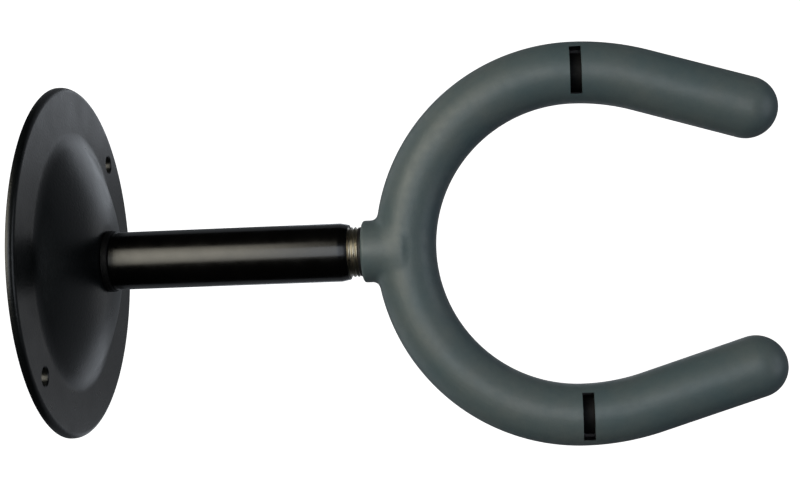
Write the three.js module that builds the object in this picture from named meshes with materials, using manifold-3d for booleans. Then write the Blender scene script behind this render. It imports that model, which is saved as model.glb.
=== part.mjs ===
// Wall guitar hanger: a domed steel wall plate, a tubular steel post bolted to it, and a padded
// U-shaped yoke that turns on a threaded bushing in the post's end.
//
// Units are millimetres. The row frame has +Z up and the wall in the XZ plane at Y = 0; the post
// comes out of the wall along -Y. Every piece is drawn in a group turned half a turn about Z, in
// which +Y is the distance from the wall. The yoke lies flat, in the XY plane.

import * as THREE from "three";
import { mergeVertices } from "three/addons/utils/BufferGeometryUtils.js";
import Module from "manifold-3d";

const wasm = await Module();
wasm.setup();

// ---- Driving dimensions ----

const GAP = 0.1; // between coaxial pieces that touch on the real object
const WELD_GAP = 0.3; // between pieces that are welded or moulded together

// Wall plate: a pressed steel disc with a flat rim, rounded at its edge, and a shallow spherical dome.
const SHEET = 2.0;
const PLATE_RADIUS = 46.9;
const RIM_HEIGHT = SHEET; // from the wall to the flat rim's front face
const RIM_CORNER = 1.5;
const DOME_BASE_RADIUS = 33;
const DOME_SPHERE_RADIUS = 66;
const DOME_FILLET = 2.1; // length of the blend on each side of the dome's foot
const CROWN_RADIUS = 9.2; // flat seat for the post
const SCREW_CIRCLE_RADIUS = 40;
const SCREW_HOLE_RADIUS = 2.4;
const SCREW_HOLE_LIP = 0.3; // chamfer round each hole's front edge
const SCREW_ANGLE = Math.PI / 4; // the two wall screws lie on a diagonal

// M6 bolt that holds the post, seen from behind the plate.
const M6_RADIUS = 3.0;
const M6_HOLE_RADIUS = 3.4;
const M6_TAPPED_RADIUS = 3.15;
const M6_ACROSS_FLATS = 10;
const BOLT_HEAD_HEIGHT = 3.8;
const BOLT_SHANK_LENGTH = 22;
const WASHER_THICKNESS = 1.4;

// Post: a steel tube on a flanged plug.
const POST_RADIUS = 7.7;
const POST_BORE_RADIUS = 6.0;
const POST_TAPPED_RADIUS = 6.75; // the threaded stretch that takes the bushing
const POST_TAPPED_LENGTH = 13;
const POST_END = 75.6; // distance of the post's free end from the wall
const POST_CHAMFER_LENGTH = 2.2;
const POST_CHAMFER_DEPTH = 0.45;
const PLUG_FLANGE_RADIUS = 8.2;
const PLUG_FLANGE_THICKNESS = 1.8;
const PLUG_SPIGOT_LENGTH = 18;

// Swivel: a fine-threaded bushing in the post, with the yoke's stem turning in its bore.
const BUSHING_START = 63.7;
const BUSHING_END = 78.35;
const BUSHING_BODY_RADIUS = 6.6;
const THREAD_DEPTH = 0.5;
const THREAD_PITCH = 1.0;
const JOURNAL_RADIUS = 4.0;
const JOURNAL_BORE_RADIUS = 4.1;
const JOURNAL_START = 62.5;
const STEM_START = 53.5;
const STEM_BOSS_RADIUS = 5.0;
const STEM_BOSS_END = 87.5;
const NYLON_THICKNESS = 0.7;

// Yoke: a bent steel rod in a moulded foam cushion.
const YOKE_CENTRE = 134.7; // distance of the semicircle's centre from the wall
const YOKE_RADIUS = 44.3; // of the centre line
const YOKE_BEND_RADIUS = 60;
const YOKE_BEND_ANGLE = THREE.MathUtils.degToRad(17.5);
const YOKE_ARM_LENGTH = 27.7; // straight stretch, up to the centre of the round tip
const CORE_RADIUS = 5.0;
const CORE_SETBACK = 3.0; // the rod stops this far short of the tip's centre
const CUSHION_RADIUS = 8.0;
const COLLAR_START = 79.2;
const COLLAR_RADIUS = 8.15;
const COLLAR_CHAMFER = 0.5;
const SLOT_WIDTH = 3.0; // slots across the cushion's top, open down to the rod
const SLOT_LENGTH = 12.2;
const SLOT_FLOOR = -2.5; // height of the slots' floor beside the rod, from the yoke's plane

const FINE = 64; // facets round a large turned piece
const COARSE = 32; // facets round a small one

// ---- Materials ----

const finish = (color, roughness, metalness) =>
  new THREE.MeshStandardMaterial({ color, roughness, metalness });

const satinBlack = finish(0x3b4243, 0.5, 0.2);
const glossBlack = finish(0x0d0d0e, 0.2, 0.4);
const zinc = finish(0xb9b5a8, 0.35, 0.9);
const bareSteel = finish(0x8d8f90, 0.45, 0.9);
const nylon = finish(0x15171a, 0.6, 0.0);
const whiteNylon = finish(0xd8d8d0, 0.55, 0.0);
const foam = finish(0x4d5a5c, 0.75, 0.0);

// ---- Geometry helpers ----

// A THREE geometry as a manifold-3d solid.
function solidOf(geometry) {
  const bare = geometry.clone();
  bare.deleteAttribute("normal");
  bare.deleteAttribute("uv");
  const merged = mergeVertices(bare, 1e-4);
  return new wasm.Manifold(
    new wasm.Mesh({
      numProp: 3,
      vertProperties: merged.attributes.position.array,
      triVerts: new Uint32Array(merged.index.array),
    }),
  );
}

// A manifold-3d solid as a THREE geometry.
function geometryOf(solid) {
  const mesh = solid.getMesh();
  const geometry = new THREE.BufferGeometry();
  geometry.setAttribute("position", new THREE.BufferAttribute(mesh.vertProperties, 3));
  geometry.setIndex(new THREE.BufferAttribute(mesh.triVerts, 1));
  geometry.computeVertexNormals();
  return geometry;
}

// A solid of revolution about Y. The profile is a list of [radius, distance from the wall] that runs
// anticlockwise, with the outside going up; it is closed here.
function turned(profile, facets = COARSE) {
  const points = profile.map(([radius, y]) => new THREE.Vector2(radius, y));
  points.push(points[0].clone());
  return new THREE.LatheGeometry(points, facets);
}

// A plain ring, from one distance from the wall to another.
const ring = (inner, outer, from, to, facets) =>
  turned([[inner, from], [outer, from], [outer, to], [inner, to]], facets);

// A solid cylinder along Y.
function rod(radius, from, to, facets = COARSE) {
  const geometry = new THREE.CylinderGeometry(radius, radius, to - from, facets);
  return geometry.translate(0, (from + to) / 2, 0);
}

// A hexagonal prism along Y, by its width across flats.
const hexagon = (acrossFlats, from, to) =>
  rod(acrossFlats / 2 / Math.cos(Math.PI / 6), from, to, 6);

// ---- Wall plate ----

// Height of the dome's front surface above the wall at a radius.
function domeHeight(radius) {
  const foot = Math.sqrt(DOME_SPHERE_RADIUS ** 2 - DOME_BASE_RADIUS ** 2);
  return RIM_HEIGHT + Math.sqrt(DOME_SPHERE_RADIUS ** 2 - radius ** 2) - foot;
}

const CROWN_HEIGHT = domeHeight(CROWN_RADIUS);
const CROWN_BACK = CROWN_HEIGHT - SHEET;

// The pressed surface from the dome's crown out to the flat rim, as [radius, height] pairs.
function pressedProfile() {
  const filletEnd = DOME_BASE_RADIUS - DOME_FILLET;
  const dome = [];
  for (let i = 0; i <= 6; i++) {
    const radius = CROWN_RADIUS + ((filletEnd - CROWN_RADIUS) * i) / 6;
    dome.push([radius, domeHeight(radius)]);
  }
  const blend = new THREE.QuadraticBezierCurve(
    new THREE.Vector2(filletEnd, domeHeight(filletEnd)),
    new THREE.Vector2(DOME_BASE_RADIUS, RIM_HEIGHT),
    new THREE.Vector2(DOME_BASE_RADIUS + DOME_FILLET, RIM_HEIGHT),
  );
  return [...dome, ...blend.getPoints(3).slice(1).map((p) => [p.x, p.y])];
}

// The space of one screw hole, a little wider at the rim's front face.
const screwHole = () =>
  turned([
    [0, -1],
    [SCREW_HOLE_RADIUS, -1],
    [SCREW_HOLE_RADIUS, RIM_HEIGHT - SCREW_HOLE_LIP],
    [SCREW_HOLE_RADIUS + SCREW_HOLE_LIP, RIM_HEIGHT],
    [SCREW_HOLE_RADIUS + SCREW_HOLE_LIP, RIM_HEIGHT + 1],
    [0, RIM_HEIGHT + 1],
  ]);

function wallPlate() {
  const pressed = pressedProfile();
  const lip = PLATE_RADIUS - RIM_CORNER;
  const corner = [];
  for (let i = 0; i <= 3; i++) {
    const angle = (Math.PI / 2) * (i / 3);
    corner.push([
      lip + RIM_CORNER * Math.cos(angle),
      RIM_HEIGHT - RIM_CORNER + RIM_CORNER * Math.sin(angle),
    ]);
  }
  const back = pressed.map(([radius, y]) => [radius, y - SHEET]);
  const disc = turned(
    [
      [M6_HOLE_RADIUS, CROWN_BACK],
      ...back,
      [PLATE_RADIUS, 0],
      ...corner,
      ...pressed.reverse(),
      [M6_HOLE_RADIUS, CROWN_HEIGHT],
    ],
    FINE,
  );
  let plate = solidOf(disc);
  for (const side of [-1, 1]) {
    const x = side * SCREW_CIRCLE_RADIUS * Math.cos(SCREW_ANGLE);
    const z = side * SCREW_CIRCLE_RADIUS * Math.sin(SCREW_ANGLE);
    plate = plate.subtract(solidOf(screwHole().translate(x, 0, z)));
  }
  return geometryOf(plate);
}

// ---- Fixing of the post to the plate ----

const WASHER_BACK = CROWN_BACK - GAP - WASHER_THICKNESS;
const LOCK_WASHER_BACK = WASHER_BACK - GAP - WASHER_THICKNESS;
const BOLT_HEAD_TOP = LOCK_WASHER_BACK - GAP;
const PLUG_START = CROWN_HEIGHT + GAP;
const POST_START = PLUG_START + PLUG_FLANGE_THICKNESS + GAP;

const plateWasher = () => ring(M6_HOLE_RADIUS, 6.2, WASHER_BACK, WASHER_BACK + WASHER_THICKNESS);

// The split washer: a ring with a narrow slanting gap.
function lockWasher() {
  const whole = ring(M6_HOLE_RADIUS, 5.6, LOCK_WASHER_BACK, LOCK_WASHER_BACK + WASHER_THICKNESS);
  const split = new THREE.BoxGeometry(0.8, 4, 4);
  split.rotateZ(Math.PI / 6).translate(0, LOCK_WASHER_BACK + WASHER_THICKNESS / 2, 4.8);
  return geometryOf(solidOf(whole).subtract(solidOf(split)));
}

function plateBolt() {
  const head = hexagon(M6_ACROSS_FLATS, BOLT_HEAD_TOP - BOLT_HEAD_HEIGHT, BOLT_HEAD_TOP);
  const shank = rod(M6_RADIUS, BOLT_HEAD_TOP - 1, BOLT_HEAD_TOP + BOLT_SHANK_LENGTH);
  return geometryOf(solidOf(head).add(solidOf(shank)));
}

// The plug's flange is the dark ring between the dome and the post, and its spigot fills the tube.
function basePlug() {
  const flangeEnd = PLUG_START + PLUG_FLANGE_THICKNESS;
  const spigot = POST_BORE_RADIUS - GAP;
  return turned([
    [M6_TAPPED_RADIUS, PLUG_START],
    [PLUG_FLANGE_RADIUS, PLUG_START],
    [PLUG_FLANGE_RADIUS, flangeEnd - 0.4],
    [PLUG_FLANGE_RADIUS - 0.4, flangeEnd],
    [spigot, flangeEnd],
    [spigot, flangeEnd + PLUG_SPIGOT_LENGTH - 0.8],
    [spigot - 0.8, flangeEnd + PLUG_SPIGOT_LENGTH],
    [M6_TAPPED_RADIUS, flangeEnd + PLUG_SPIGOT_LENGTH],
  ]);
}

// ---- Post ----

function postTube() {
  return turned(
    [
      [POST_BORE_RADIUS, POST_START],
      [POST_RADIUS - 0.3, POST_START],
      [POST_RADIUS, POST_START + 0.3],
      [POST_RADIUS, POST_END - POST_CHAMFER_LENGTH],
      [POST_RADIUS - POST_CHAMFER_DEPTH, POST_END],
      [POST_TAPPED_RADIUS, POST_END],
      [POST_TAPPED_RADIUS, POST_END - POST_TAPPED_LENGTH],
      [POST_BORE_RADIUS, POST_END - POST_TAPPED_LENGTH],
    ],
    FINE,
  );
}

// ---- Swivel ----

// The bushing's thread is drawn as ridges where it shows, and plain inside the post.
function swivelBushing() {
  const root = BUSHING_BODY_RADIUS - THREAD_DEPTH;
  const ridges = [];
  for (let y = POST_END - 0.35; y + THREAD_PITCH < BUSHING_END; y += THREAD_PITCH) {
    ridges.push([root, y + 0.1]);
    ridges.push([BUSHING_BODY_RADIUS, y + 0.5 * THREAD_PITCH]);
    ridges.push([BUSHING_BODY_RADIUS, y + 0.7 * THREAD_PITCH]);
  }
  return turned([
    [JOURNAL_BORE_RADIUS, BUSHING_START],
    [root, BUSHING_START],
    [BUSHING_BODY_RADIUS, BUSHING_START + THREAD_DEPTH],
    [BUSHING_BODY_RADIUS, POST_END - 0.9],
    ...ridges,
    [root, BUSHING_END - 0.2],
    [root - 0.2, BUSHING_END],
    [JOURNAL_BORE_RADIUS, BUSHING_END],
  ]);
}

const FRONT_WASHER_START = BUSHING_END + GAP / 2;
const REAR_WASHER_START = BUSHING_START - GAP - NYLON_THICKNESS;
const RETAINER_START = JOURNAL_START - GAP / 2 - WASHER_THICKNESS;
const NUT_END = RETAINER_START - GAP / 2;
const NUT_HEX_HEIGHT = 4.2;
const NUT_COLLAR_HEIGHT = 1.8;
const NUT_START = NUT_END - NUT_HEX_HEIGHT - NUT_COLLAR_HEIGHT;
const NUT_COLLAR_RADIUS = 4.8;
const NUT_RECESS_RADIUS = 4.2;

const frontThrustWasher = () =>
  ring(JOURNAL_RADIUS + 0.3, 6.5, FRONT_WASHER_START, FRONT_WASHER_START + NYLON_THICKNESS);
const rearThrustWasher = () =>
  ring(JOURNAL_RADIUS + 0.3, 5.8, REAR_WASHER_START, REAR_WASHER_START + NYLON_THICKNESS);
const retainingWasher = () =>
  ring(M6_HOLE_RADIUS, 5.8, RETAINER_START, RETAINER_START + WASHER_THICKNESS);

// A self-locking nut: a hexagon with a round collar that is open at the back for its nylon insert.
function lockNut() {
  const hex = solidOf(hexagon(M6_ACROSS_FLATS, NUT_END - NUT_HEX_HEIGHT, NUT_END));
  const collar = solidOf(rod(NUT_COLLAR_RADIUS, NUT_START, NUT_END - 1));
  const bore = solidOf(rod(M6_TAPPED_RADIUS, NUT_START - 1, NUT_END + 1));
  const recess = solidOf(rod(NUT_RECESS_RADIUS, NUT_START - 1, NUT_START + NUT_COLLAR_HEIGHT));
  return geometryOf(hex.add(collar).subtract(bore).subtract(recess));
}

const lockNutInsert = () =>
  ring(
    M6_TAPPED_RADIUS,
    NUT_RECESS_RADIUS - GAP,
    NUT_START + 0.2,
    NUT_START + NUT_COLLAR_HEIGHT - GAP,
  );

// ---- Yoke ----

// The yoke's centre line: a semicircle, then on each side a gentle inward bend and a straight arm.
class YokeLine extends THREE.Curve {
  constructor(armLength) {
    super();
    this.armLength = armLength;
    this.quarter = (YOKE_RADIUS * Math.PI) / 2;
    this.bend = YOKE_BEND_RADIUS * YOKE_BEND_ANGLE;
    this.half = this.quarter + this.bend + armLength;
  }

  getPoint(t, target = new THREE.Vector3()) {
    const along = (2 * t - 1) * this.half;
    const side = Math.sign(along) || 1;
    const [x, y] = this.sidePoint(Math.abs(along));
    return target.set(side * x, YOKE_CENTRE + y, 0);
  }

  // The point on one side, by its distance along the line from the yoke's back.
  sidePoint(distance) {
    if (distance <= this.quarter) {
      const angle = distance / YOKE_RADIUS;
      return [YOKE_RADIUS * Math.sin(angle), -YOKE_RADIUS * Math.cos(angle)];
    }
    const turn = Math.min((distance - this.quarter) / YOKE_BEND_RADIUS, YOKE_BEND_ANGLE);
    const straight = Math.max(distance - this.quarter - this.bend, 0);
    return [
      YOKE_RADIUS - YOKE_BEND_RADIUS * (1 - Math.cos(turn)) - straight * Math.sin(turn),
      YOKE_BEND_RADIUS * Math.sin(turn) + straight * Math.cos(turn),
    ];
  }
}

// A round bar swept along the yoke's centre line.
function yokeBar(radius, armLength, sides, steps) {
  const section = new THREE.Shape();
  for (let i = 0; i < sides; i++) {
    const angle = (2 * Math.PI * i) / sides;
    const point = [radius * Math.cos(angle), radius * Math.sin(angle)];
    if (i === 0) section.moveTo(...point);
    else section.lineTo(...point);
  }
  section.closePath();
  const extrudePath = new YokeLine(armLength);
  return new THREE.ExtrudeGeometry(section, { extrudePath, steps });
}

const CORE_ARM = YOKE_ARM_LENGTH - CORE_SETBACK;
const CORE_SIDES = 12;
const CORE_STEPS = 44;
const CUSHION_SIDES = 18;
const CUSHION_STEPS = 52;

const yokeCore = () => yokeBar(CORE_RADIUS, CORE_ARM, CORE_SIDES, CORE_STEPS);

// The space that the rod takes up in the pieces round it.
const coreClearance = () =>
  solidOf(yokeBar(CORE_RADIUS + WELD_GAP, CORE_ARM + WELD_GAP, CORE_SIDES, CORE_STEPS));

// The stem: an M6 end for the lock nut, the journal that turns in the bushing, and a boss whose end
// is hollowed to sit against the rod.
function yokeStem() {
  const bar = turned([
    [0, STEM_START],
    [M6_RADIUS - 0.6, STEM_START],
    [M6_RADIUS, STEM_START + 0.6],
    [M6_RADIUS, JOURNAL_START],
    [JOURNAL_RADIUS, JOURNAL_START],
    [JOURNAL_RADIUS, COLLAR_START],
    [STEM_BOSS_RADIUS, COLLAR_START],
    [STEM_BOSS_RADIUS, STEM_BOSS_END],
    [0, STEM_BOSS_END],
  ]);
  return geometryOf(solidOf(bar).subtract(coreClearance()));
}

const WELD_START = 84.6;
const WELD_END = 87.2;
const WELD_RADIUS = 6.6;

// The weld bead: a ring round the boss, widening to the rod.
function stemWeld() {
  const inner = STEM_BOSS_RADIUS + WELD_GAP;
  const bead = turned([
    [inner, WELD_START],
    [inner + 0.4, WELD_START],
    [WELD_RADIUS, WELD_START + 1.6],
    [WELD_RADIUS, WELD_END],
    [inner, WELD_END],
  ]);
  return geometryOf(solidOf(bead).subtract(coreClearance()));
}

// The moulded cushion: a round bar with round tips and a collar at the back, open at the collar
// for the stem and at a slot on top of each arm.
function yokeCushion() {
  const path = new YokeLine(YOKE_ARM_LENGTH);
  let cushion = solidOf(yokeBar(CUSHION_RADIUS, YOKE_ARM_LENGTH, CUSHION_SIDES, CUSHION_STEPS));
  for (const end of [0, 1]) {
    const tip = new THREE.SphereGeometry(CUSHION_RADIUS, CUSHION_SIDES, 12);
    const { x, y } = path.getPoint(end);
    cushion = cushion.add(solidOf(tip.translate(x, y, 0)));
  }
  const back = YOKE_CENTRE - YOKE_RADIUS;
  const collar = turned([
    [0, COLLAR_START],
    [COLLAR_RADIUS - COLLAR_CHAMFER, COLLAR_START],
    [COLLAR_RADIUS, COLLAR_START + COLLAR_CHAMFER],
    [COLLAR_RADIUS, back - 4],
    [STEM_BOSS_RADIUS, back],
    [0, back],
  ]);
  cushion = cushion.add(solidOf(collar)).subtract(coreClearance());
  const stemBore = rod(STEM_BOSS_RADIUS + WELD_GAP, COLLAR_START - 1, back);
  const weldPocket = rod(WELD_RADIUS + WELD_GAP, WELD_START - WELD_GAP, WELD_END + WELD_GAP);
  cushion = cushion.subtract(solidOf(stemBore)).subtract(solidOf(weldPocket));
  for (const side of [-1, 1]) {
    const y = YOKE_CENTRE + SLOT_WIDTH / 2;
    const z = SLOT_FLOOR + CUSHION_RADIUS; // the box is two radii high
    const slot = new THREE.BoxGeometry(SLOT_LENGTH, SLOT_WIDTH, 2 * CUSHION_RADIUS);
    cushion = cushion.subtract(solidOf(slot.translate(side * YOKE_RADIUS, y, z)));
  }
  return geometryOf(cushion);
}

// ---- Assembly ----

const hanger = new THREE.Group();
hanger.name = "wall_guitar_hanger";
hanger.rotation.z = Math.PI;

const fixed = new THREE.Group();
const swivelling = new THREE.Group();
hanger.add(fixed, swivelling);

function place(group, name, geometry, material) {
  const mesh = new THREE.Mesh(geometry, material);
  mesh.name = name;
  group.add(mesh);
}

place(fixed, "wall_plate", wallPlate(), satinBlack);
place(fixed, "plate_bolt", plateBolt(), zinc);
place(fixed, "plate_lock_washer", lockWasher(), zinc);
place(fixed, "plate_washer", plateWasher(), zinc);
place(fixed, "post_base_plug", basePlug(), glossBlack);
place(fixed, "post_tube", postTube(), glossBlack);
place(fixed, "swivel_bushing", swivelBushing(), zinc);

place(swivelling, "front_thrust_washer", frontThrustWasher(), nylon);
place(swivelling, "rear_thrust_washer", rearThrustWasher(), nylon);
place(swivelling, "retaining_washer", retainingWasher(), zinc);
place(swivelling, "lock_nut", lockNut(), zinc);
place(swivelling, "lock_nut_insert", lockNutInsert(), whiteNylon);
place(swivelling, "yoke_stem", yokeStem(), zinc);
place(swivelling, "stem_weld", stemWeld(), bareSteel);
place(swivelling, "yoke_core", yokeCore(), glossBlack);
place(swivelling, "yoke_cushion", yokeCushion(), foam);

export default hanger;
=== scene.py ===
"""The looks of a wall guitar hanger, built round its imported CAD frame. All lengths are in metres.

The wall is the plane Y = 0 and the post stands out along -Y. "Reach" is the distance from the wall,
so a point at some reach lies at Y = -reach. The yoke lies in the XY plane, with its arms at +X and -X.
"""

import math

import bmesh
import bpy
import numpy as np
from mathutils import Euler, Matrix, Vector


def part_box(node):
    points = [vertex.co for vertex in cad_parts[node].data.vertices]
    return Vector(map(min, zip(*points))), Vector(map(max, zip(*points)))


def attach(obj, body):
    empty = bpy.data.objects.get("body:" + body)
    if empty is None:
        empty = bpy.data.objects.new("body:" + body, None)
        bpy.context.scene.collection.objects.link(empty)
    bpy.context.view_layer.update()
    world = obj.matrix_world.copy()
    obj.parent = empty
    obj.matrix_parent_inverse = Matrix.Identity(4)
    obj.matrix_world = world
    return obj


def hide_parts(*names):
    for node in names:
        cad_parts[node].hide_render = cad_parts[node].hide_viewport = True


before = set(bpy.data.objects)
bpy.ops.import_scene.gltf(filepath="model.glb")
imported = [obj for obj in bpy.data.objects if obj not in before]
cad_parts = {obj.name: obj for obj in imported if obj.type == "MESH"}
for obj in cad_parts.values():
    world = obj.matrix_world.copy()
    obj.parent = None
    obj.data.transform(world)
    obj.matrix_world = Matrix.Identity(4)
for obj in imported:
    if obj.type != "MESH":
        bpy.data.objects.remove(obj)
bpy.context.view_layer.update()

MM = 0.001
TURN = 2 * math.pi


# ---- Sizes from the frame ----

def reach_of(node):
    """The least and the greatest distance of a CAD node from the wall."""
    low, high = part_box(node)
    return -high.y, -low.y


def radius_of(node):
    """The outer radius of a CAD node that is round about the post's axis."""
    low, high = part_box(node)
    return (high.z - low.z) / 2


PLATE_RADIUS = radius_of("wall_plate")
CROWN_HEIGHT = reach_of("wall_plate")[1]
POST_START, POST_END = reach_of("post_tube")
POST_RADIUS = radius_of("post_tube")
PLUG_START, PLUG_END = reach_of("post_base_plug")
PLUG_RADIUS = radius_of("post_base_plug")
BUSHING_START, BUSHING_END = reach_of("swivel_bushing")
BUSHING_RADIUS = radius_of("swivel_bushing")
COLLAR_START = reach_of("yoke_cushion")[0]

# ---- Sizes of the design ----

SHEET = 2.0 * MM
RIM_HEIGHT = SHEET
RIM_CORNER = 1.5 * MM
DOME_BASE_RADIUS = 33 * MM
DOME_SPHERE_RADIUS = 66 * MM
DOME_FILLET = 2.1 * MM
CROWN_RADIUS = 9.2 * MM
SCREW_CIRCLE_RADIUS = 40 * MM
SCREW_HOLE_RADIUS = 2.4 * MM
SCREW_HOLE_LIP = 0.3 * MM
SCREW_ANGLE = TURN / 8

M6_RADIUS = 3.0 * MM
M6_HOLE_RADIUS = 3.4 * MM
M6_TAPPED_RADIUS = 3.15 * MM
M6_ACROSS_FLATS = 10 * MM
M6_PITCH = 1.0 * MM
M6_THREAD_DEPTH = 0.55 * MM
PLATE_BOLT_LENGTH = 22 * MM
LOCK_NUT_HEX_HEIGHT = 4.2 * MM
LOCK_NUT_RECESS_RADIUS = 4.2 * MM
LOCK_NUT_RECESS_DEPTH = 1.8 * MM

POST_BORE_RADIUS = 6.0 * MM
POST_TAPPED_RADIUS = 6.75 * MM
POST_TAPPED_LENGTH = 13 * MM
POST_CHAMFER_LENGTH = 2.2 * MM
POST_CHAMFER_DEPTH = 0.45 * MM
PLUG_FLANGE_THICKNESS = 1.8 * MM
BUSHING_PITCH = 1.0 * MM
BUSHING_THREAD_DEPTH = 0.5 * MM
JOURNAL_RADIUS = 4.0 * MM
JOURNAL_BORE_RADIUS = 4.1 * MM
JOURNAL_START = 62.5 * MM
STEM_BOSS_RADIUS = 5.0 * MM

YOKE_CENTRE = 134.7 * MM
YOKE_RADIUS = 44.3 * MM
YOKE_BEND_RADIUS = 60 * MM
YOKE_BEND_ANGLE = math.radians(17.5)
YOKE_ARM_LENGTH = 27.7 * MM
CORE_RADIUS = 5.0 * MM
CORE_SETBACK = 3.0 * MM
CUSHION_RADIUS = 8.0 * MM
CORE_CLEARANCE = 0.1 * MM
COLLAR_RADIUS = 8.15 * MM
COLLAR_CORNER = 0.7 * MM
COLLAR_BLEND = 1.8 * MM
SLOT_WIDTH = 3.0 * MM
SLOT_LENGTH = 12.2 * MM
SLOT_FLOOR = -2.5 * MM

FINE = 192
COARSE = 96
CORE_SIDES = 48


# ---- Mesh helpers ----

def mesh_piece(name, vertices, faces, sharp=math.radians(32)):
    """A new smooth-shaded object, facing out, whose edges are sharp past an angle."""
    mesh = bpy.data.meshes.new(name)
    mesh.from_pydata([tuple(v) for v in vertices], [], [tuple(f) for f in faces])
    work = bmesh.new()
    work.from_mesh(mesh)
    bmesh.ops.recalc_face_normals(work, faces=work.faces)
    work.to_mesh(mesh)
    work.free()
    piece = bpy.data.objects.new(name, mesh)
    bpy.context.scene.collection.objects.link(piece)
    shade(piece, sharp)
    return piece


def shade(piece, sharp=math.radians(32)):
    """Smooth shading, with the edges that turn by more than an angle marked sharp."""
    work = bmesh.new()
    work.from_mesh(piece.data)
    for face in work.faces:
        face.smooth = True
    for edge in work.edges:
        edge.smooth = len(edge.link_faces) == 2 and edge.calc_face_angle(0) < sharp
    work.to_mesh(piece.data)
    work.free()


def rounded(corners, steps=4):
    """A closed outline of (radius, reach, fillet) corners, with each corner rounded by its fillet."""
    outline = []
    for i, (x, y, fillet) in enumerate(corners):
        corner = Vector((x, y))
        if fillet == 0:
            outline.append(tuple(corner))
            continue
        before = Vector(corners[i - 1][:2]) - corner
        after = Vector(corners[(i + 1) % len(corners)][:2]) - corner
        half = before.angle(after) / 2
        back = fillet / math.tan(half)
        start = corner + before.normalized() * back
        end = corner + after.normalized() * back
        inward = (before.normalized() + after.normalized()).normalized()
        centre = corner + inward * fillet / math.sin(half)
        swing = (start - centre).angle_signed(end - centre)
        for k in range(steps + 1):
            arm = start - centre
            angle = -swing * k / steps
            c, s = math.cos(angle), math.sin(angle)
            outline.append((centre.x + arm.x * c - arm.y * s, centre.y + arm.x * s + arm.y * c))
    return outline


def divided(outline, longest=1.5 * MM):
    """A closed outline with its long straight stretches divided."""
    made = []
    for i, start in enumerate(outline):
        end = outline[(i + 1) % len(outline)]
        pieces = max(1, math.ceil(math.dist(start, end) / longest))
        for k in range(pieces):
            share = k / pieces
            made.append(tuple(a + (b - a) * share for a, b in zip(start, end)))
    return made


def wound(name, outlines):
    """A closed solid from closed outlines of (radius, reach) points, set evenly round the post's axis."""
    segments, count = len(outlines), len(outlines[0])
    vertices = []
    for j, outline in enumerate(outlines):
        angle = TURN * j / segments
        for radius, reach in outline:
            vertices.append((radius * math.cos(angle), -reach, radius * math.sin(angle)))
    faces = []
    for j in range(segments):
        near, far = j * count, (j + 1) % segments * count
        for i in range(count):
            k = (i + 1) % count
            faces.append((near + i, near + k, far + k, far + i))
    return mesh_piece(name, vertices, faces)


def turned(name, outline, segments=COARSE):
    """A solid of revolution about the post's axis from a closed outline of (radius, reach) points."""
    return wound(name, [outline] * segments)


def ring(name, inner, outer, start, end, fillet, segments=COARSE):
    """A plain washer or sleeve with rounded edges."""
    corners = [(inner, start, fillet), (outer, start, fillet), (outer, end, fillet), (inner, end, fillet)]
    return turned(name, divided(rounded(corners)), segments)


def combine(piece, other, operation):
    """Joins, cuts or intersects a piece with another, which is used up."""
    modifier = piece.modifiers.new("combine", "BOOLEAN")
    modifier.operation = operation
    modifier.solver = "MANIFOLD"
    modifier.object = other
    settle(piece)
    bpy.data.objects.remove(other)
    return piece


def settle(piece):
    """Applies a piece's modifiers to its mesh."""
    graph = bpy.context.evaluated_depsgraph_get()
    mesh = bpy.data.meshes.new_from_object(piece.evaluated_get(graph))
    piece.modifiers.clear()
    piece.data = mesh
    shade(piece)


def column(name, rows):
    """A closed solid from rows of points, each row a ring, with a fan over each end."""
    count = len(rows[0])
    vertices = [point for row in rows for point in row]
    faces = []
    for i in range(len(rows) - 1):
        for j in range(count):
            k = (j + 1) % count
            faces.append((i * count + j, i * count + k, (i + 1) * count + k, (i + 1) * count + j))
    for row in (0, len(rows) - 1):
        centre = np.mean(np.array(rows[row], float), axis=0)
        vertices.append(tuple(centre))
        for j in range(count):
            faces.append((row * count + j, row * count + (j + 1) % count, len(vertices) - 1))
    return mesh_piece(name, vertices, faces)


def circle(radius, reach, count):
    """Points set evenly round the post's axis at one reach."""
    angles = [TURN * k / count for k in range(count)]
    return [(radius * math.cos(angle), -reach, radius * math.sin(angle)) for angle in angles]


def bar(name, profile, segments=COARSE):
    """A solid bar about the post's axis from (radius, reach) rows."""
    return column(name, [circle(radius, reach, segments) for radius, reach in profile])


def threaded_bar(name, radius, depth, pitch, start, end, segments=COARSE):
    """A solid bar with a helical thread: each turn has a root and a crest with a flank between."""
    profile = [(0.0, 0), (0.16, 0), (0.5, 1), (0.66, 1)]
    turns = math.ceil((end - start) / pitch) + 1
    rows = []
    for turn in range(turns):
        for share, crest in profile:
            rows.append((start + pitch * (turn + share), radius - depth * (1 - crest)))
    vertices = []
    for reach, r in rows:
        for j in range(segments):
            angle = TURN * j / segments
            rise = reach + pitch * (j / segments - 1)
            vertices.append((r * math.cos(angle), -rise, r * math.sin(angle)))
    faces = []
    step = len(profile)
    for i in range(len(rows) - 1):
        for j in range(segments - 1):
            a = i * segments + j
            faces.append((a, a + 1, a + 1 + segments, a + segments))
        if i + 1 + step < len(rows):
            a, b = i * segments + segments - 1, (i + step) * segments
            faces.append((a, b, b + segments, a + segments))
    mesh = bpy.data.meshes.new(name)
    mesh.from_pydata(vertices, [], faces)
    work = bmesh.new()
    work.from_mesh(mesh)
    bmesh.ops.holes_fill(work, edges=[e for e in work.edges if e.is_boundary], sides=0)
    bmesh.ops.triangulate(work, faces=[f for f in work.faces if len(f.verts) > 4])
    bmesh.ops.recalc_face_normals(work, faces=work.faces)
    work.to_mesh(mesh)
    work.free()
    piece = bpy.data.objects.new(name, mesh)
    bpy.context.scene.collection.objects.link(piece)
    return piece


# ---- Material helpers ----

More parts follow.
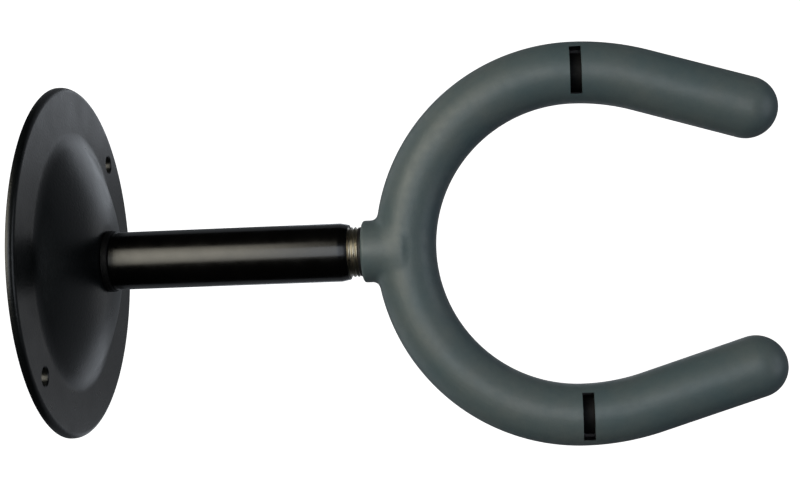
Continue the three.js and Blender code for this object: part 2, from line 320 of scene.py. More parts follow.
def add_node(tree, kind, sockets=None, **settings):
    """A shader node with its settings, and its inputs linked or set."""
    made = tree.nodes.new(kind)
    for key, value in settings.items():
        setattr(made, key, value)
    for key, value in (sockets or {}).items():
        if isinstance(value, bpy.types.NodeSocket):
            tree.links.new(value, made.inputs[key])
        else:
            made.inputs[key].default_value = value
    return made


def noise(tree, place, scale, detail=3.0, roughness=0.55):
    made = add_node(tree, "ShaderNodeTexNoise", {"Vector": place, "Scale": scale, "Detail": detail})
    made.inputs["Roughness"].default_value = roughness
    return made.outputs["Fac"]


def remap(tree, value, low, high, new_low, new_high):
    made = add_node(
        tree,
        "ShaderNodeMapRange",
        {"Value": value, "From Min": low, "From Max": high, "To Min": new_low, "To Max": new_high},
    )
    return made.outputs["Result"]


def mix_color(tree, share, first, second):
    made = add_node(tree, "ShaderNodeMix", data_type="RGBA")
    for name, value in (("Factor", share), ("A", first), ("B", second)):
        socket = next(s for s in made.inputs if s.name == name and s.enabled)
        if isinstance(value, bpy.types.NodeSocket):
            tree.links.new(value, socket)
        else:
            socket.default_value = value
    return next(s for s in made.outputs if s.enabled)


def bump(tree, height, strength, distance, normal=None):
    sockets = {"Height": height, "Strength": strength, "Distance": distance}
    if normal is not None:
        sockets["Normal"] = normal
    return add_node(tree, "ShaderNodeBump", sockets).outputs["Normal"]


def new_material(name):
    """A material with an empty tree: its tree, its surface shader and the place in the row frame."""
    material = bpy.data.materials.new(name)
    material.use_nodes = True
    tree = material.node_tree
    shader = tree.nodes["Principled BSDF"]
    place = add_node(tree, "ShaderNodeTexCoord").outputs["Object"]
    return material, tree, shader, place


def link(tree, shader, **sockets):
    for name, value in sockets.items():
        tree.links.new(value, shader.inputs[name.replace("_", " ")])


# ---- Materials ----

def powder_coat():
    """Satin black powder coat: a fine orange peel, with a slow change of sheen."""
    material, tree, shader, place = new_material("satin_powder_coat")
    cloud = noise(tree, place, 45)
    peel = noise(tree, place, 1500, 2)
    dark, light = (0.0035, 0.0045, 0.0048, 1), (0.0060, 0.0072, 0.0076, 1)
    color = mix_color(tree, remap(tree, cloud, 0.35, 0.65, 0, 1), dark, light)
    rough = remap(tree, noise(tree, place, 120), 0.3, 0.7, 0.27, 0.34)
    normal = bump(tree, peel, 0.35, 0.00012)
    link(tree, shader, Base_Color=color, Roughness=rough, Normal=normal)
    shader.inputs["Specular IOR Level"].default_value = 0.5
    return material


def enamel():
    """Gloss black enamel with the faint waviness of sprayed paint."""
    material, tree, shader, place = new_material("gloss_enamel")
    haze = noise(tree, place, 90)
    color = mix_color(tree, haze, (0.0010, 0.0010, 0.0011, 1), (0.0020, 0.0019, 0.0018, 1))
    rough = remap(tree, noise(tree, place, 260), 0.3, 0.7, 0.2, 0.27)
    normal = bump(tree, noise(tree, place, 420, 2), 0.2, 0.00008)
    link(tree, shader, Base_Color=color, Roughness=rough, Normal=normal)
    shader.inputs["Coat Weight"].default_value = 0.3
    shader.inputs["Coat Roughness"].default_value = 0.12
    return material


def matte_black():
    """Dull black paint, which hardly shines at all."""
    material, tree, shader, place = new_material("matte_black")
    dark, light = (0.0012, 0.0012, 0.0013, 1), (0.0022, 0.0022, 0.0023, 1)
    color = mix_color(tree, noise(tree, place, 150), dark, light)
    rough = remap(tree, noise(tree, place, 500), 0.3, 0.7, 0.55, 0.7)
    normal = bump(tree, noise(tree, place, 2400, 2), 0.3, 0.00005)
    link(tree, shader, Base_Color=color, Roughness=rough, Normal=normal)
    shader.inputs["Specular IOR Level"].default_value = 0.25
    return material


def zinc_plate(name="bright_zinc", tint=(0.46, 0.43, 0.36, 1), low=0.26, high=0.42):
    """Zinc plating: bright, a little warm, cloudy, with fine tool marks."""
    material, tree, shader, place = new_material(name)
    cloud = noise(tree, place, 320)
    dark = tuple(c * 0.8 for c in tint[:3]) + (1,)
    color = mix_color(tree, remap(tree, cloud, 0.3, 0.7, 0, 1), dark, tint)
    rough = remap(tree, noise(tree, place, 900), 0.3, 0.7, low, high)
    normal = bump(tree, noise(tree, place, 5200, 2), 0.25, 0.00003)
    link(tree, shader, Base_Color=color, Roughness=rough, Normal=normal)
    shader.inputs["Metallic"].default_value = 1.0
    return material


def weld_steel():
    """Bare weld metal: rough, with straw and blue heat colours."""
    material, tree, shader, place = new_material("weld_steel")
    tint = noise(tree, place, 240)
    straw, blue = (0.36, 0.28, 0.18, 1), (0.16, 0.19, 0.27, 1)
    color = mix_color(tree, remap(tree, tint, 0.4, 0.6, 0, 1), straw, blue)
    rough = remap(tree, noise(tree, place, 1500), 0.3, 0.7, 0.35, 0.6)
    link(tree, shader, Base_Color=color, Roughness=rough, Normal=bump(tree, tint, 0.5, 0.0002))
    shader.inputs["Metallic"].default_value = 1.0
    return material


def black_rod():
    """Black oxide on drawn steel: nearly matte, with a faint grain."""
    material, tree, shader, place = new_material("black_oxide")
    grain = noise(tree, place, 700)
    color = mix_color(tree, grain, (0.002, 0.002, 0.0022, 1), (0.006, 0.006, 0.0065, 1))
    rough = remap(tree, grain, 0.3, 0.7, 0.6, 0.75)
    link(tree, shader, Base_Color=color, Roughness=rough, Normal=bump(tree, grain, 0.3, 0.00005))
    shader.inputs["Specular IOR Level"].default_value = 0.25
    return material


def nylon(name, dark, light):
    """Moulded nylon: a soft sheen and a faint grain."""
    material, tree, shader, place = new_material(name)
    grain = noise(tree, place, 1100)
    color = mix_color(tree, grain, dark, light)
    rough = remap(tree, grain, 0.3, 0.7, 0.42, 0.55)
    link(tree, shader, Base_Color=color, Roughness=rough, Normal=bump(tree, grain, 0.2, 0.00004))
    return material


def foam_rubber():
    """Moulded foam with a thin skin: slate grey, softly mottled, with fine pores, and painted shade
    that turns it black where it lies deep in a slot."""
    material, tree, shader, place = new_material("foam_rubber")
    mottle = noise(tree, place, 55, 4, 0.6)
    fine = noise(tree, place, 420, 3, 0.6)
    dark, light = (0.090, 0.130, 0.142, 1), (0.126, 0.154, 0.156, 1)
    base = mix_color(tree, remap(tree, mottle, 0.35, 0.65, 0, 1), dark, light)
    skinned = mix_color(tree, remap(tree, fine, 0.35, 0.75, 0, 0.35), base, (0.070, 0.104, 0.120, 1))
    # Painted shade: an ambient occlusion mask darkens the foam to near black in the slots and other deep
    # recesses.
    recess_shade_ao = add_node(tree, "ShaderNodeAmbientOcclusion", {"Distance": 3 * MM}, samples=8).outputs["AO"]
    painted_shade_color = (0.004, 0.004, 0.005, 1)
    color = mix_color(tree, remap(tree, recess_shade_ao, 0.35, 0.75, 0, 1), painted_shade_color, skinned)
    pores = add_node(tree, "ShaderNodeTexVoronoi", {"Vector": place, "Scale": 2600.0}).outputs["Distance"]
    skin = bump(tree, noise(tree, place, 900, 3, 0.6), 0.5, 0.00009)
    normal = bump(tree, pores, 0.35, 0.00004, skin)
    rough = remap(tree, fine, 0.3, 0.7, 0.4, 0.5)
    link(tree, shader, Base_Color=color, Roughness=rough, Normal=normal)
    shader.inputs["Specular IOR Level"].default_value = 0.6
    return material


# ---- Finishing a piece ----

def install(piece, node, body, material):
    """Gives a piece its material, and puts it in place of its CAD node on its body."""
    piece.data.materials.clear()
    piece.data.materials.append(material)
    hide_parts(node)
    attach(piece, body)
    return piece


def weighted(piece):
    """Vertex normals that follow the large faces, so that flat stretches look flat."""
    modifier = piece.modifiers.new("weighted", "WEIGHTED_NORMAL")
    modifier.keep_sharp = True
    return piece


# ---- Wall plate ----

def dome_height(radius):
    """Height of the dome's front surface above the wall."""
    foot = math.sqrt(DOME_SPHERE_RADIUS**2 - DOME_BASE_RADIUS**2)
    return RIM_HEIGHT + math.sqrt(DOME_SPHERE_RADIUS**2 - radius**2) - foot


def bezier(start, middle, end, steps):
    """Points of a quadratic curve, without its first."""
    made = []
    for k in range(1, steps + 1):
        t = k / steps
        first, second, third = (1 - t) ** 2, 2 * t * (1 - t), t**2
        made.append(tuple(first * a + second * b + third * c for a, b, c in zip(start, middle, end)))
    return made


def pressed_line():
    """The pressed surface from the bolt hole out to the flat rim, as (radius, reach) points."""
    soft = 1.0 * MM
    inner = CROWN_RADIUS + soft
    outer = DOME_BASE_RADIUS - DOME_FILLET
    crown = (CROWN_RADIUS, CROWN_HEIGHT)
    line = [(CROWN_RADIUS - soft, CROWN_HEIGHT)]
    line += bezier(line[0], crown, (inner, dome_height(inner)), 5)
    steps = 26
    for k in range(1, steps + 1):
        radius = inner + (outer - inner) * k / steps
        line.append((radius, dome_height(radius)))
    foot = (DOME_BASE_RADIUS, RIM_HEIGHT)
    line += bezier(line[-1], foot, (DOME_BASE_RADIUS + DOME_FILLET, RIM_HEIGHT), 8)
    return line


def screw_hole_cutter(side):
    """A cutter for a screw hole with a slight chamfer on the plate's front."""
    depth = 2 * RIM_HEIGHT
    rows = []
    for radius, reach in (
        (SCREW_HOLE_RADIUS, -depth),
        (SCREW_HOLE_RADIUS, RIM_HEIGHT - SCREW_HOLE_LIP),
        (SCREW_HOLE_RADIUS + SCREW_HOLE_LIP, RIM_HEIGHT),
        (SCREW_HOLE_RADIUS + SCREW_HOLE_LIP, RIM_HEIGHT + depth),
    ):
        row = []
        for j in range(48):
            angle = TURN * j / 48
            x = -side * SCREW_CIRCLE_RADIUS * math.cos(SCREW_ANGLE) + radius * math.cos(angle)
            z = side * SCREW_CIRCLE_RADIUS * math.sin(SCREW_ANGLE) + radius * math.sin(angle)
            row.append((x, -reach, z))
        rows.append(row)
    return column("screw_hole_cutter", rows)


def wall_plate(material):
    front = pressed_line()
    back = [(radius, reach - SHEET) for radius, reach in front]
    lip = PLATE_RADIUS - RIM_CORNER
    edge = 0.15 * MM
    corner = []
    for k in range(9):
        angle = TURN / 4 * k / 8
        drop = RIM_CORNER * (1 - math.sin(angle))
        corner.append((lip + RIM_CORNER * math.cos(angle), RIM_HEIGHT - drop))
    outline = [(M6_HOLE_RADIUS, CROWN_HEIGHT - SHEET), *back]
    outline += [(PLATE_RADIUS - edge, 0), (PLATE_RADIUS, edge), *corner]
    outline += [*reversed(front), (M6_HOLE_RADIUS, CROWN_HEIGHT)]
    plate = turned("wall_plate_pressing", divided(outline), FINE)
    for side in (-1, 1):
        combine(plate, screw_hole_cutter(side), "DIFFERENCE")
    install(weighted(plate), "wall_plate", "wall_bracket", material)


# ---- Post and its fixing ----

def hexagon(name, across_flats, start, end, crown):
    """A hexagonal prism about the post's axis, its corners turned off at one end or both."""
    corner = across_flats / 2 / math.cos(TURN / 12)
    prism = bar(name, [(corner, start), (corner, end)], 6)
    slope = (corner - across_flats / 2 * 0.96) * math.tan(math.radians(30))
    flat = across_flats / 2 * 0.96
    over = 1 * MM
    profile = [(flat, start), (corner, start + slope), (corner + over, start + slope + over)]
    if crown == "both":
        profile += [(corner + over, end - slope - over), (corner, end - slope), (flat, end)]
    else:
        profile += [(corner + over, end)]
    return combine(prism, bar("envelope", profile), "INTERSECT")


def threaded_end(name, radius, start, end, chamfered_start):
    """An M6 thread between two reaches, with its first turns chamfered at the free end."""
    thread = threaded_bar(name, radius, M6_THREAD_DEPTH, M6_PITCH, start, end)
    tip = radius - M6_THREAD_DEPTH
    free, held = (start, end) if chamfered_start else (end, start)
    step = M6_THREAD_DEPTH if chamfered_start else -M6_THREAD_DEPTH
    profile = [(tip, free), (radius + 0.01 * MM, free + step), (radius + 0.01 * MM, held)]
    if not chamfered_start:
        profile.reverse()
    return combine(thread, bar("envelope", profile), "INTERSECT")


def plate_bolt(material):
    start, end = reach_of("plate_bolt")
    seat = end - PLATE_BOLT_LENGTH
    head = hexagon("plate_bolt_m6", M6_ACROSS_FLATS, start, seat, "start")
    combine(head, bar("shank", [(M6_RADIUS, seat - 1 * MM), (M6_RADIUS, seat + 6 * MM)]), "UNION")
    combine(head, threaded_end("thread", M6_RADIUS, seat + 5.5 * MM, end, False), "UNION")
    install(head, "plate_bolt", "wall_bracket", material)


def split_washer(material):
    """A spring washer: one turn of square wire whose two ends don't quite meet."""
    start, end = reach_of("plate_lock_washer")
    inner, outer = M6_HOLE_RADIUS, radius_of("plate_lock_washer")
    gap = 0.8 * MM / ((inner + outer) / 2)
    lift = 0.12 * MM
    top, edge = end - lift, 0.15 * MM
    section = rounded([(inner, start, edge), (outer, start, edge), (outer, top, edge), (inner, top, edge)])
    rows = []
    steps = 120
    for k in range(steps + 1):
        share = k / steps
        angle = TURN / 4 + gap / 2 + (TURN - gap) * share
        c, s = math.cos(angle), math.sin(angle)
        rows.append([(radius * c, -(reach + lift * share), radius * s) for radius, reach in section])
    washer = column("plate_lock_washer_split", rows)
    install(washer, "plate_lock_washer", "wall_bracket", material)


def flat_washer(node, body, material):
    start, end = reach_of(node)
    washer = ring(node + "_m6", M6_HOLE_RADIUS, radius_of(node), start, end, 0.2 * MM)
    install(washer, node, body, material)


def base_plug(material):
    flange_end = PLUG_START + PLUG_FLANGE_THICKNESS
    spigot = POST_BORE_RADIUS - 0.1 * MM
    corners = [
        (M6_TAPPED_RADIUS, PLUG_START, 0.2 * MM),
        (PLUG_RADIUS, PLUG_START, 0.2 * MM),
        (PLUG_RADIUS, flange_end, 0.3 * MM),
        (spigot, flange_end, 0),
        (spigot, PLUG_END, 0.7 * MM),
        (M6_TAPPED_RADIUS, PLUG_END, 0.2 * MM),
    ]
    plug = turned("post_base_plug_turned", divided(rounded(corners, 6)))
    install(weighted(plug), "post_base_plug", "wall_bracket", material)


def post_tube(material):
    chamfer_start = POST_END - POST_CHAMFER_LENGTH
    shoulder = POST_END - POST_TAPPED_LENGTH
    corners = [
        (POST_BORE_RADIUS, POST_START, 0.2 * MM),
        (POST_RADIUS, POST_START, 0.2 * MM),
        (POST_RADIUS, chamfer_start, 3.0 * MM),
        (POST_RADIUS - POST_CHAMFER_DEPTH, POST_END, 0.15 * MM),
        (POST_TAPPED_RADIUS, POST_END, 0.1 * MM),
        (POST_TAPPED_RADIUS, shoulder, 0),
        (POST_BORE_RADIUS, shoulder, 0.2 * MM),
    ]
    tube = turned("post_tube_drawn", divided(rounded(corners, 6)), FINE)
    install(weighted(tube), "post_tube", "wall_bracket", material)


# ---- Swivel ----

def swivel_bushing(material):
    """The bushing: a fine helical thread outside, a smooth bore and chamfered ends."""
    over = 0.01 * MM
    root = BUSHING_RADIUS - BUSHING_THREAD_DEPTH
    sizes = (BUSHING_RADIUS, BUSHING_THREAD_DEPTH, BUSHING_PITCH, BUSHING_START, BUSHING_END)
    thread = threaded_bar("swivel_bushing_threaded", *sizes, FINE)
    outline = [
        (JOURNAL_BORE_RADIUS, BUSHING_START),
        (root, BUSHING_START),
        (BUSHING_RADIUS + over, BUSHING_START + BUSHING_THREAD_DEPTH),
        (BUSHING_RADIUS + over, BUSHING_END - 0.3 * MM),
        (BUSHING_RADIUS - 0.3 * MM, BUSHING_END),
        (JOURNAL_BORE_RADIUS, BUSHING_END),
    ]
    combine(thread, turned("envelope", outline, FINE), "INTERSECT")
    install(thread, "swivel_bushing", "wall_bracket", material)


def thrust_washer(node, material):
    start, end = reach_of(node)
    washer = ring(node + "_moulded", JOURNAL_RADIUS + 0.3 * MM, radius_of(node), start, end, 0.12 * MM)
    install(washer, node, "yoke", material)


def lock_nut(steel, plastic):
    """A self-locking nut, with a domed collar that holds its nylon ring."""
    start, end = reach_of("lock_nut")
    hex_start = end - LOCK_NUT_HEX_HEIGHT
    nut = hexagon("lock_nut_m6", M6_ACROSS_FLATS, hex_start, end, "both")
    collar = [(4.5 * MM, start), (4.8 * MM, start + 0.5 * MM), (4.8 * MM, hex_start + 0.5 * MM)]
    combine(nut, bar("collar", collar), "UNION")
    bore = [(M6_TAPPED_RADIUS, hex_start - 0.1 * MM), (M6_TAPPED_RADIUS, end - 0.3 * MM)]
    bore += [(M6_TAPPED_RADIUS + 0.3 * MM, end), (M6_TAPPED_RADIUS + 0.3 * MM, end + 1 * MM)]
    combine(nut, bar("bore", bore), "DIFFERENCE")
    recess = [(LOCK_NUT_RECESS_RADIUS, start - 1 * MM)]
    recess += [(LOCK_NUT_RECESS_RADIUS, start + LOCK_NUT_RECESS_DEPTH)]
    combine(nut, bar("recess", recess), "DIFFERENCE")
    install(nut, "lock_nut", "yoke", steel)
    low, high = reach_of("lock_nut_insert")
    outer = radius_of("lock_nut_insert")
    insert = ring("lock_nut_insert_ring", M6_TAPPED_RADIUS, outer, low, high, 0.2 * MM)
    install(insert, "lock_nut_insert", "yoke", plastic)


# ---- Yoke ----

def yoke_point(distance, arm):
    """The point at a distance along one side of the yoke's centre line from its back, and its heading.
    The point is (across, along), across from the middle and along from the semicircle's centre."""
    quarter = YOKE_RADIUS * TURN / 4
    bend = YOKE_BEND_RADIUS * YOKE_BEND_ANGLE
    distance = min(distance, quarter + bend + arm)
    if distance <= quarter:
        angle = distance / YOKE_RADIUS
        return YOKE_RADIUS * math.sin(angle), -YOKE_RADIUS * math.cos(angle), angle - TURN / 4
    turn = min((distance - quarter) / YOKE_BEND_RADIUS, YOKE_BEND_ANGLE)
    straight = max(distance - quarter - bend, 0)
    across = YOKE_RADIUS - YOKE_BEND_RADIUS * (1 - math.cos(turn)) - straight * math.sin(turn)
    along = YOKE_BEND_RADIUS * math.sin(turn) + straight * math.cos(turn)
    return across, along, turn


def yoke_bar(name, radius, arm, sides, step, end_round):
    """A round bar along the yoke's centre line, its ends rounded by a radius."""
    half = YOKE_RADIUS * TURN / 4 + YOKE_BEND_RADIUS * YOKE_BEND_ANGLE + arm
    stations = []
    caps = 14
    for k in range(caps):
        angle = TURN / 4 * (k + 0.5) / caps
        stations.append((half + end_round * math.cos(angle), radius - end_round * (1 - math.sin(angle))))
    count = round(half / step)
    stations += [(half * (count - k) / count, radius) for k in range(count + 1)]
    stations += [(-distance, r) for distance, r in reversed(stations[:-1])]
    rows = []
    for distance, r in stations:
        side = 1 if distance >= 0 else -1
        across, along, turn = yoke_point(abs(distance), arm)
        over = max(abs(distance) - half, 0)
        across, along = across - over * math.sin(turn), along + over * math.cos(turn)
        row = []
        for j in range(sides):
            angle = TURN * j / sides
            out, up = r * math.cos(angle), r * math.sin(angle)
            x = side * (across + out * math.cos(turn))
            y = along + out * math.sin(turn)
            row.append((x, -(YOKE_CENTRE + y), up))
        rows.append(row)
    return column(name, rows)


def yoke_distance(points):
    """Distance of points from the cushion's bar: negative inside it."""
    across, along = np.abs(points[:, 0]), -points[:, 1] - YOKE_CENTRE
    ring_distance = np.where(along < 0, np.abs(np.hypot(across, along) - YOKE_RADIUS), np.inf)
    pivot = YOKE_RADIUS - YOKE_BEND_RADIUS
    heading = np.clip(np.arctan2(along, across - pivot), 0, YOKE_BEND_ANGLE)
    bend_distance = np.hypot(
        across - pivot - YOKE_BEND_RADIUS * np.cos(heading), along - YOKE_BEND_RADIUS * np.sin(heading)
    )
    c, s = math.cos(YOKE_BEND_ANGLE), math.sin(YOKE_BEND_ANGLE)
    start_across, start_along = pivot + YOKE_BEND_RADIUS * c, YOKE_BEND_RADIUS * s
    share = np.clip((along - start_along) * c - (across - start_across) * s, 0, YOKE_ARM_LENGTH)
    arm_distance = np.hypot(across - start_across + share * s, along - start_along - share * c)
    flat = np.minimum(np.minimum(ring_distance, bend_distance), arm_distance)
    return np.hypot(flat, points[:, 2]) - CUSHION_RADIUS


def collar_distance(points):
    """Distance of points from the collar: a short cylinder with rounded edges."""
    back = YOKE_CENTRE - YOKE_RADIUS
    middle, half = (COLLAR_START + back) / 2, (back - COLLAR_START) / 2
    out = np.hypot(points[:, 0], points[:, 2]) - (COLLAR_RADIUS - COLLAR_CORNER)
    off = np.abs(-points[:, 1] - middle) - (half - COLLAR_CORNER)
    outside = np.hypot(np.maximum(out, 0), np.maximum(off, 0))
    return outside + np.minimum(np.maximum(out, off), 0) - COLLAR_CORNER


def cushion_distance(points):
    """The bar and the collar, blended into each other."""
    a, b = yoke_distance(points), collar_distance(points)
    near = np.maximum(COLLAR_BLEND - np.abs(a - b), 0) / COLLAR_BLEND
    return np.minimum(a, b) - near**2 * COLLAR_BLEND / 4


def drawn_to(points, distance, rounds=6):
    """Points moved onto the surface where a distance function is zero."""
    tiny = 0.01 * MM
    for _ in range(rounds):
        value = distance(points)
        slope = np.empty_like(points)
        for axis in range(3):
            shift = np.zeros(3)
            shift[axis] = tiny
            slope[:, axis] = (distance(points + shift) - distance(points - shift)) / (2 * tiny)
        length = np.maximum(np.linalg.norm(slope, axis=1, keepdims=True), 0.3)
        points = points - slope / length**2 * value[:, None]
    return points


def moulded_cushion():
    """The cushion's outer skin: the bar and the collar joined, remeshed and drawn to their blend."""
    voxel = 0.4 * MM
    inset = 0.4 * MM
    skin = yoke_bar("yoke_cushion_moulded", CUSHION_RADIUS, YOKE_ARM_LENGTH, 64, 0.8 * MM, CUSHION_RADIUS)
    back = YOKE_CENTRE - YOKE_RADIUS
    collar = [(COLLAR_RADIUS - inset, COLLAR_START)]
    collar += [(COLLAR_RADIUS, COLLAR_START + inset), (COLLAR_RADIUS, back)]
    combine(skin, bar("collar", collar), "UNION")
    remesh = skin.modifiers.new("remesh", "REMESH")
    remesh.mode = "VOXEL"
    remesh.voxel_size = voxel
    settle(skin)
    count = len(skin.data.vertices)
    points = np.empty(count * 3)
    skin.data.vertices.foreach_get("co", points)
    points = drawn_to(points.reshape(-1, 3), cushion_distance)
    skin.data.vertices.foreach_set("co", points.ravel())
    skin.data.update()
    return skin


def slot_cutter(side):
    """The slot across the top of one arm, which is open down to the rod."""
    x, half, top = side * YOKE_RADIUS, SLOT_LENGTH / 2, 2 * CUSHION_RADIUS
    corners = [(x - half, SLOT_FLOOR), (x + half, SLOT_FLOOR), (x + half, top), (x - half, top)]
    rows = []
    for y in (-YOKE_CENTRE - SLOT_WIDTH, -YOKE_CENTRE):
        rows.append([(across, y, up) for across, up in corners])
    return column("slot_cutter", rows)


def core_room(name, arm):
    """The rod's shape with a clearance all round, for cutting its neighbours."""
    return yoke_bar(name, CORE_RADIUS + CORE_CLEARANCE, arm, CORE_SIDES, 1 * MM, 1 * MM)


def yoke_cushion(material):
    """The foam, hollowed for the rod, the stem and the weld, and slotted on both arms."""
    cushion = moulded_cushion()
    cavity = core_room("cavity", YOKE_ARM_LENGTH - CORE_SETBACK + CORE_CLEARANCE)
    radius, back = STEM_BOSS_RADIUS + CORE_CLEARANCE, YOKE_CENTRE - YOKE_RADIUS
    combine(cavity, bar("stem_room", [(radius, COLLAR_START - 1 * MM), (radius, back)]), "UNION")
    low, high = reach_of("stem_weld")
    radius = radius_of("stem_weld") + CORE_CLEARANCE
    weld_room = bar("weld_room", [(radius, low - CORE_CLEARANCE), (radius, high + CORE_CLEARANCE)])
    combine(cavity, weld_room, "UNION")
    for side in (-1, 1):
        combine(cavity, slot_cutter(side), "UNION")
    combine(cushion, cavity, "DIFFERENCE")
    install(cushion, "yoke_cushion", "yoke", material)


def yoke_core(material):
    arm = YOKE_ARM_LENGTH - CORE_SETBACK
    core = yoke_bar("yoke_core_rod", CORE_RADIUS, arm, CORE_SIDES, 1 * MM, 0.8 * MM)
    install(core, "yoke_core", "yoke", material)


def yoke_stem(material):
    """The stem: a boss against the rod, the journal and the threaded end."""
    start, end = reach_of("yoke_stem")
    chamfer = 0.3 * MM
    profile = [
        (M6_RADIUS, JOURNAL_START - 2 * MM),
        (M6_RADIUS, JOURNAL_START),
        (JOURNAL_RADIUS - chamfer, JOURNAL_START),
        (JOURNAL_RADIUS, JOURNAL_START + chamfer),
        (JOURNAL_RADIUS, COLLAR_START),
        (STEM_BOSS_RADIUS - chamfer, COLLAR_START),
        (STEM_BOSS_RADIUS, COLLAR_START + chamfer),
        (STEM_BOSS_RADIUS, end),
    ]
    stem = bar("yoke_stem_turned", profile)
    combine(stem, threaded_end("thread", M6_RADIUS, start, JOURNAL_START - 1.5 * MM, True), "UNION")
    combine(stem, core_room("clearance", YOKE_ARM_LENGTH), "DIFFERENCE")
    install(stem, "yoke_stem", "yoke", material)


def stem_weld(material):
    """The weld bead round the stem's end, with the ripples of its passes."""
    low, high = reach_of("stem_weld")
    inner = STEM_BOSS_RADIUS + CORE_CLEARANCE
    outer = radius_of("stem_weld")
    ripples = 34
    segments = 8 * ripples
    outlines = []
    for j in range(segments):
        angle = TURN * j / segments
        swell = 1 - 0.06 * (0.5 + 0.5 * math.cos(ripples * angle))
        outline = [(inner, low)]
        for k in range(9):
            share = k / 8
            out = inner + (outer - inner) * swell * math.sin(share * TURN / 4)
            outline.append((out, low + (high - low) * (1 - math.cos(share * TURN / 4))))
        outline.append((inner, high))
        outlines.append(outline)
    bead = wound("stem_weld_bead", outlines)
    combine(bead, core_room("clearance", YOKE_ARM_LENGTH), "DIFFERENCE")
    install(bead, "stem_weld", "yoke", material)


def make_pieces():
    zinc = zinc_plate()
    plain_zinc = zinc_plate("dull_zinc", (0.5, 0.5, 0.47, 1), 0.34, 0.5)
    gloss = enamel()
    black_nylon = nylon("black_nylon", (0.006, 0.006, 0.007, 1), (0.012, 0.012, 0.013, 1))
    white_nylon = nylon("white_nylon", (0.62, 0.62, 0.56, 1), (0.74, 0.74, 0.68, 1))
    wall_plate(powder_coat())
    plate_bolt(plain_zinc)
    split_washer(plain_zinc)
    flat_washer("plate_washer", "wall_bracket", plain_zinc)
    base_plug(matte_black())
    post_tube(gloss)
    swivel_bushing(zinc)
    thrust_washer("front_thrust_washer", black_nylon)
    thrust_washer("rear_thrust_washer", black_nylon)
    flat_washer("retaining_washer", "yoke", plain_zinc)
    lock_nut(plain_zinc, white_nylon)
    yoke_stem(plain_zinc)
    stem_weld(weld_steel())
    yoke_core(black_rod())
    yoke_cushion(foam_rubber())


# ---- Camera, light and floor ----

def make_camera():
    """Looks nearly straight down on the hanger, with the wall on the left of the picture."""
    data = bpy.data.cameras.new("camera")
    data.lens = 62.6
    data.sensor_width = 36
    data.clip_start = 0.01
    data.clip_end = 100
    camera = bpy.data.objects.new("camera", data)
    camera.location = (-0.0038, -0.1269, 0.3632)
    camera.rotation_euler = Euler([math.radians(a) for a in (0.38, 6.005, -92.17)])
    bpy.context.scene.collection.objects.link(camera)
    bpy.context.scene.camera = camera


def soft_light(name, place, aim, width, depth, radiance, color, soft=False):
    """A rectangular light that faces a point and isn't seen itself. Its width lies square to the row's
    Y. A soft one is brightest along its middle and dies away towards both ends of its width."""
    data = bpy.data.lights.new(name, "AREA")
    data.shape = "RECTANGLE"
    data.size, data.size_y = width, depth
    data.energy = math.pi * width * depth * radiance
    data.color = color
    if soft:
        data.use_nodes = True
        tree = data.node_tree
        place_on_light = add_node(tree, "ShaderNodeNewGeometry").outputs["Parametric"]
        across = add_node(tree, "ShaderNodeSeparateXYZ", {"Vector": place_on_light}).outputs["X"]
        offset = remap(tree, across, 0, 1, -1, 1)
        square = add_node(tree, "ShaderNodeMath", {0: offset, 1: offset}, operation="MULTIPLY").outputs[0]
        bell = add_node(tree, "ShaderNodeMath", {0: 1.0, 1: square}, operation="SUBTRACT").outputs[0]
        tree.links.new(bell, tree.nodes["Emission"].inputs["Strength"])
    light = bpy.data.objects.new(name, data)
    back = (Vector(place) - Vector(aim)).normalized()
    side = Vector((0, 1, 0)).cross(back).normalized()
    turn = Matrix((side, back.cross(side), back)).transposed().to_4x4()
    light.matrix_world = Matrix.Translation(place) @ turn
    light.visible_camera = False
    bpy.context.scene.collection.objects.link(light)


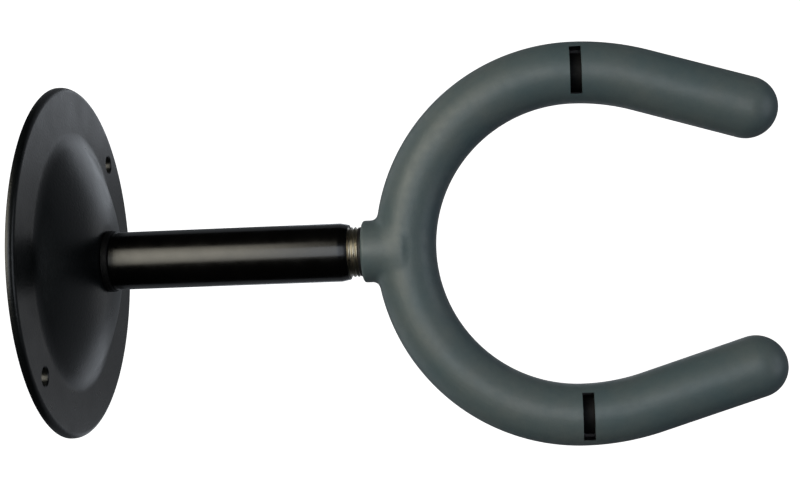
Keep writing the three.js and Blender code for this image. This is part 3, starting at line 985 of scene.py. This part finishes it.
def make_light():
    """A warm softbox over the post and a cool one high up, with dimmer cards in front and below and
    a fill from behind, which shows the back of the plate."""
    warm, cool, white = (1, 0.95, 0.80), (0.86, 0.92, 1), (1, 1, 1)
    soft_light("softbox_above", (0.17, 0.26, 0.60), (0.05, -0.05, 0), 0.90, 0.40, 4.06, warm, True)
    soft_light("softbox_high", (0.12, -0.12, 1.20), (0, -0.10, 0), 0.80, 0.60, 2.1, cool)
    soft_light("card_front", (0, -0.90, 0.20), (0, 0, 0), 0.60, 0.40, 1.3, cool)
    soft_light("card_below_near", (0.18, -0.10, -0.50), (0.18, -0.10, 0), 0.20, 0.28, 0.74, cool)
    soft_light("card_below_far", (-0.19, -0.06, -0.50), (-0.19, -0.06, 0), 0.16, 0.30, 0.44, cool)
    soft_light("card_below_front", (0, -0.27, -0.50), (0, -0.27, 0), 0.26, 0.12, 0.33, white)
    soft_light("fill_below", (0, -0.20, -0.60), (0, -0.20, 0), 2.4, 2.4, 0.145, cool)
    soft_light("fill_behind", (0, 0.90, -0.30), (0, 0, 0), 2.2, 0.9, 0.6, cool)


def make_floor():
    """A plain pale floor, a long way under the hanger."""
    half, depth = 12.0, -0.9
    corners = [(-half, -half, depth), (half, -half, depth), (half, half, depth), (-half, half, depth)]
    mesh = bpy.data.meshes.new("floor")
    mesh.from_pydata(corners, [], [(0, 1, 2, 3)])
    floor = bpy.data.objects.new("floor", mesh)
    bpy.context.scene.collection.objects.link(floor)
    material = bpy.data.materials.new("pale_floor")
    material.use_nodes = True
    shader = material.node_tree.nodes["Principled BSDF"]
    shader.inputs["Base Color"].default_value = (0.8, 0.8, 0.8, 1)
    shader.inputs["Emission Color"].default_value = (1, 1, 1, 1)
    shader.inputs["Emission Strength"].default_value = 1.0
    mesh.materials.append(material)
    floor.visible_glossy = False
    floor.visible_diffuse = False
    floor.visible_shadow = False


def make_world():
    """White, but only to the camera: the lights alone light the hanger."""
    world = bpy.data.worlds.new("studio")
    world.use_nodes = True
    background = world.node_tree.nodes["Background"]
    background.inputs["Color"].default_value = (1, 1, 1, 1)
    background.inputs["Strength"].default_value = 1.0
    world.cycles_visibility.diffuse = False
    world.cycles_visibility.glossy = False
    scene = bpy.context.scene
    scene.world = world
    scene.view_settings.view_transform = "Standard"


make_camera()
make_light()
make_floor()
make_world()
make_pieces()
